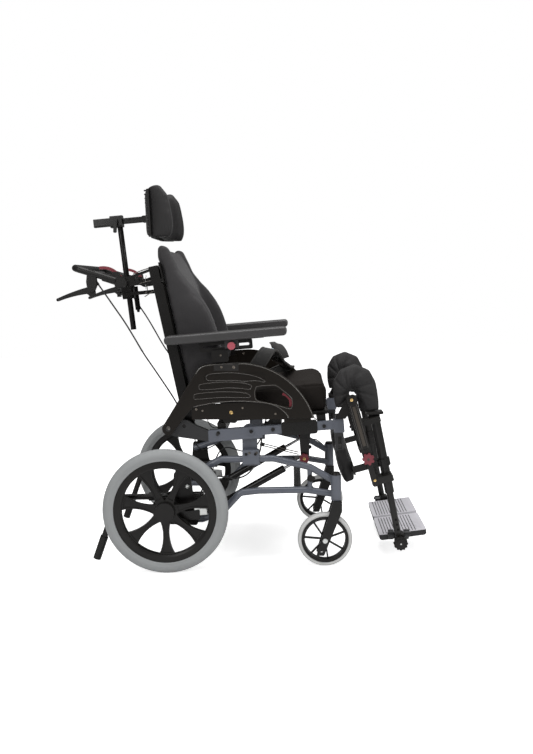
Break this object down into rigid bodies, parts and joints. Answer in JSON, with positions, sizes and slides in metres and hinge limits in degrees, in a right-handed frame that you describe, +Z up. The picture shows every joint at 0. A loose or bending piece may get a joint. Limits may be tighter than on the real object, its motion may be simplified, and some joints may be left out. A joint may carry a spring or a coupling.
{
  "type": "tilt in space wheelchair",
  "caption": "Multifunction wheelchair: seat tilts on its chassis, back reclines, armrests, legrests and headrest adjust, castors swivel, anti-tippers turn up.",
  "frame": {"origin": "middle of the chair's box, on the floor", "axes": "+X forward, +Y to the user's left, +Z up"},
  "size_m": [1.1912, 0.64, 1.238],
  "materials": {
    "tyre_grey": "matte grey rubber",
    "black_nylon": "satin black plastic",
    "frame_paint": "blue-grey powder coat",
    "black_paint": "satin black powder coat",
    "panel_plastic": "glossy brownish black",
    "armpad_foam": "satin soft foam skin",
    "upholstery": "dark charcoal stretch fabric",
    "webbing": "black padded webbing",
    "steel_rod": "polished",
    "red_lever": "dark red plastic",
    "footplate_grey": "light grey plastic",
    "cable_black": "black cable sleeve"
  },
  "bodies": {
    "chassis": {"side_frames": "frame_paint", "cross_tubes": "frame_paint", "axle_plates": "frame_paint", "drum_brakes": "black_paint", "frame_fittings": "black_nylon", "brake_cables": "cable_black"},
    "seat": {"seat_rails": "frame_paint", "seat_base": "black_paint", "seat_cushion": "upholstery", "lap_belt": "webbing", "seat_cables": "cable_black"},
    "backrest": {"back_frame": "black_paint", "back_shell": "black_nylon", "back_cushion": "upholstery", "back_cables": "cable_black"},
    "tilt_cylinders": {"tilt_cylinders": "black_paint"},
    "tilt_rods": {"tilt_rods": "steel_rod"},
    "recline_cylinder": {"recline_cylinder": "black_paint"},
    "recline_rod": {"recline_rod": "steel_rod"},
    "headrest_post": {"headrest_post": "black_paint"},
    "headrest_bar": {"headrest_bar": "black_paint"},
    "headrest": {"headrest_shell": "black_nylon", "headrest_pad": "upholstery"},
    "push_bar": {"push_bar": "black_paint"},
    "wheel_right": {"tyre_right": "tyre_grey", "wheel_right": "black_nylon"},
    "castor_fork_right": {"castor_fork_right": "black_paint"},
    "castor_wheel_right": {"castor_tyre_right": "tyre_grey", "castor_wheel_right": "black_nylon"},
    "anti_tip_right": {"anti_tip_right": "black_paint"},
    "armrest_right": {"side_panel_right": "panel_plastic"},
    "arm_post_right": {"arm_post_right": "black_nylon"},
    "arm_pad_right": {"arm_pad_right": "armpad_foam"},
    "hanger_right": {"hanger_right": "black_paint"},
    "leg_right": {"leg_tube_right": "black_paint", "knee_pad_right": "upholstery"},
    "foot_tube_right": {"foot_tube_right": "black_paint"},
    "footplate_right": {"footplate_right": "footplate_grey"},
    "calf_right": {"calf_arm_right": "black_paint", "calf_pad_right": "upholstery"},
    "brake_lever_right": {"brake_lever_right": "black_paint"},
    "release_lever_right": {"release_lever_right": "red_lever"},
    "wheel_left": {"tyre_left": "tyre_grey", "wheel_left": "black_nylon"},
    "castor_fork_left": {"castor_fork_left": "black_paint"},
    "castor_wheel_left": {"castor_tyre_left": "tyre_grey", "castor_wheel_left": "black_nylon"},
    "anti_tip_left": {"anti_tip_left": "black_paint"},
    "armrest_left": {"side_panel_left": "panel_plastic"},
    "arm_post_left": {"arm_post_left": "black_nylon"},
    "arm_pad_left": {"arm_pad_left": "armpad_foam"},
    "hanger_left": {"hanger_left": "black_paint"},
    "leg_left": {"leg_tube_left": "black_paint", "knee_pad_left": "upholstery"},
    "foot_tube_left": {"foot_tube_left": "black_paint"},
    "footplate_left": {"footplate_left": "footplate_grey"},
    "calf_left": {"calf_arm_left": "black_paint", "calf_pad_left": "upholstery"},
    "brake_lever_left": {"brake_lever_left": "black_paint"},
    "release_lever_left": {"release_lever_left": "red_lever"}
  },
  "joints": [
    {"name": "seat_tilt", "type": "hinge", "parent": "chassis", "child": "seat", "pos_m": [0.02575, 0, 0.445], "axis": [0, -1, 0], "range_deg": [0, 20]},
    {"name": "back_recline", "type": "hinge", "parent": "seat", "child": "backrest", "pos_m": [-0.19025, 0, 0.469], "axis": [0, -1, 0], "range_deg": [0, 30]},
    {"name": "tilt_cylinder_swing", "type": "hinge", "parent": "chassis", "child": "tilt_cylinders", "pos_m": [-0.10025, 0, 0.183], "axis": [0, -1, 0], "range_deg": [-1, 7.21]},
    {"name": "tilt_rod_slide", "type": "slide", "parent": "tilt_cylinders", "child": "tilt_rods", "axis": [0.8779, 0, 0.4789], "range_m": [-0.001, 0.05548]},
    {"name": "recline_cylinder_swing", "type": "hinge", "parent": "seat", "child": "recline_cylinder", "pos_m": [0.04575, 0, 0.398], "axis": [0, -1, 0], "range_deg": [-1, 1]},
    {"name": "recline_rod_slide", "type": "slide", "parent": "recline_cylinder", "child": "recline_rod", "axis": [-1, 0, 0], "range_m": [-0.03905, 0.001]},
    {"name": "headrest_height", "type": "slide", "parent": "backrest", "child": "headrest_post", "axis": [-0.086, 0, 0.9963], "range_m": [-0.02, 0.08]},
    {"name": "headrest_depth", "type": "slide", "parent": "headrest_post", "child": "headrest_bar", "axis": [0.9981, 0, 0.0613], "range_m": [-0.05, 0.04]},
    {"name": "headrest_angle", "type": "hinge", "parent": "headrest_bar", "child": "headrest", "pos_m": [-0.31825, 0, 1.153], "axis": [0, -1, 0], "range_deg": [-15, 15]},
    {"name": "push_bar_angle", "type": "hinge", "parent": "backrest", "child": "push_bar", "pos_m": [-0.37725, 0, 0.935], "axis": [0, 1, 0], "range_deg": [0, 40]},
    {"name": "wheel_right_spin", "type": "hinge", "parent": "chassis", "child": "wheel_right", "pos_m": [-0.25425, -0.299, 0.203], "axis": [0, 1, 0], "continuous": true},
    {"name": "castor_right_swivel", "type": "hinge", "parent": "chassis", "child": "castor_fork_right", "pos_m": [0.29575, -0.253, 0.26], "axis": [0, 0, 1], "continuous": true},
    {"name": "castor_right_spin", "type": "hinge", "parent": "castor_fork_right", "child": "castor_wheel_right", "pos_m": [0.25675, -0.253, 0.0889], "axis": [0, 1, 0], "continuous": true},
    {"name": "anti_tip_right_turn", "type": "hinge", "parent": "chassis", "child": "anti_tip_right", "pos_m": [-0.25425, -0.2385, 0.236], "axis": [-1, 0, 0], "range_deg": [-180, 0]},
    {"name": "armrest_right_swing", "type": "hinge", "parent": "seat", "child": "armrest_right", "pos_m": [-0.23925, -0.255, 0.464], "axis": [0, -1, 0], "range_deg": [0, 85]},
    {"name": "armrest_right_height", "type": "slide", "parent": "armrest_right", "child": "arm_post_right", "axis": [-0.0584, 0, 0.9983], "range_m": [0, 0.06]},
    {"name": "armpad_right_depth", "type": "slide", "parent": "arm_post_right", "child": "arm_pad_right", "axis": [0.9983, 0, 0.0584], "range_m": [-0.04, 0.045]},
    {"name": "legrest_right_swing", "type": "hinge", "parent": "seat", "child": "hanger_right", "pos_m": [0.31075, -0.24, 0.46], "axis": [0, 0, -1], "range_deg": [0, 90]},
    {"name": "legrest_right_elevate", "type": "hinge", "parent": "hanger_right", "child": "leg_right", "pos_m": [0.34875, -0.235, 0.547], "axis": [0, -1, 0], "range_deg": [0, 60]},
    {"name": "wheel_left_spin", "type": "hinge", "parent": "chassis", "child": "wheel_left", "pos_m": [-0.25425, 0.299, 0.203], "axis": [0, 1, 0], "continuous": true},
    {"name": "castor_left_swivel", "type": "hinge", "parent": "chassis", "child": "castor_fork_left", "pos_m": [0.29575, 0.253, 0.26], "axis": [0, 0, 1], "continuous": true},
    {"name": "castor_left_spin", "type": "hinge", "parent": "castor_fork_left", "child": "castor_wheel_left", "pos_m": [0.25675, 0.253, 0.0889], "axis": [0, 1, 0], "continuous": true},
    {"name": "anti_tip_left_turn", "type": "hinge", "parent": "chassis", "child": "anti_tip_left", "pos_m": [-0.25425, 0.2385, 0.236], "axis": [1, 0, 0], "range_deg": [-180, 0]},
    {"name": "armrest_left_swing", "type": "hinge", "parent": "seat", "child": "armrest_left", "pos_m": [-0.23925, 0.255, 0.464], "axis": [0, -1, 0], "range_deg": [0, 85]},
    {"name": "armrest_left_height", "type": "slide", "parent": "armrest_left", "child": "arm_post_left", "axis": [-0.0584, 0, 0.9983], "range_m": [0, 0.06]},
    {"name": "armpad_left_depth", "type": "slide", "parent": "arm_post_left", "child": "arm_pad_left", "axis": [0.9983, 0, 0.0584], "range_m": [-0.04, 0.045]},
    {"name": "legrest_left_swing", "type": "hinge", "parent": "seat", "child": "hanger_left", "pos_m": [0.31075, 0.24, 0.46], "axis": [0, 0, 1], "range_deg": [0, 90]},
    {"name": "legrest_left_elevate", "type": "hinge", "parent": "hanger_left", "child": "leg_left", "pos_m": [0.34875, 0.235, 0.547], "axis": [0, -1, 0], "range_deg": [0, 60]},
    {"name": "footrest_right_length", "type": "slide", "parent": "leg_right", "child": "foot_tube_right", "axis": [-0.1797, 0, 0.9837], "range_m": [0, 0.1]},
    {"name": "footplate_right_flip", "type": "hinge", "parent": "foot_tube_right", "child": "footplate_right", "pos_m": [0.50083, -0.222, 0.092], "axis": [1, 0, 0], "range_deg": [0, 88]},
    {"name": "calf_pad_right_swing", "type": "hinge", "parent": "leg_right", "child": "calf_right", "pos_m": [0.45124, -0.24, 0.33842], "axis": [-0.1797, 0, 0.9837], "range_deg": [-90, 0]},
    {"name": "brake_lever_right_pull", "type": "hinge", "parent": "push_bar", "child": "brake_lever_right", "pos_m": [-0.48025, -0.204, 0.916], "axis": [0, 1, 0], "range_deg": [0, 14], "stiffness_Nm_per_rad": 1.5, "springref_deg": -17.19},
    {"name": "release_lever_right_pull", "type": "hinge", "parent": "push_bar", "child": "release_lever_right", "pos_m": [-0.39625, -0.204, 0.962], "axis": [0, 1, 0], "range_deg": [0, 12], "stiffness_Nm_per_rad": 0.6, "springref_deg": -17.19},
    {"name": "footrest_left_length", "type": "slide", "parent": "leg_left", "child": "foot_tube_left", "axis": [-0.1797, 0, 0.9837], "range_m": [0, 0.1]},
    {"name": "footplate_left_flip", "type": "hinge", "parent": "foot_tube_left", "child": "footplate_left", "pos_m": [0.50083, 0.222, 0.092], "axis": [-1, 0, 0], "range_deg": [0, 88]},
    {"name": "calf_pad_left_swing", "type": "hinge", "parent": "leg_left", "child": "calf_left", "pos_m": [0.45124, 0.24, 0.33842], "axis": [0.1797, 0, -0.9837], "range_deg": [-90, 0]},
    {"name": "brake_lever_left_pull", "type": "hinge", "parent": "push_bar", "child": "brake_lever_left", "pos_m": [-0.48025, 0.204, 0.916], "axis": [0, 1, 0], "range_deg": [0, 14], "stiffness_Nm_per_rad": 1.5, "springref_deg": -17.19},
    {"name": "release_lever_left_pull", "type": "hinge", "parent": "push_bar", "child": "release_lever_left", "pos_m": [-0.39625, 0.204, 0.962], "axis": [0, 1, 0], "range_deg": [0, 12], "stiffness_Nm_per_rad": 0.6, "springref_deg": -17.19}
  ],
  "couplings": [
    {"joint": "tilt_cylinder_swing", "follows": "seat_tilt", "ratio": 0.33039},
    {"joint": "tilt_rod_slide", "follows": "seat_tilt", "m_per_rad": 0.15606},
    {"joint": "recline_cylinder_swing", "follows": "back_recline", "ratio": -0.00001},
    {"joint": "recline_rod_slide", "follows": "back_recline", "m_per_rad": -0.072663}
  ]
}
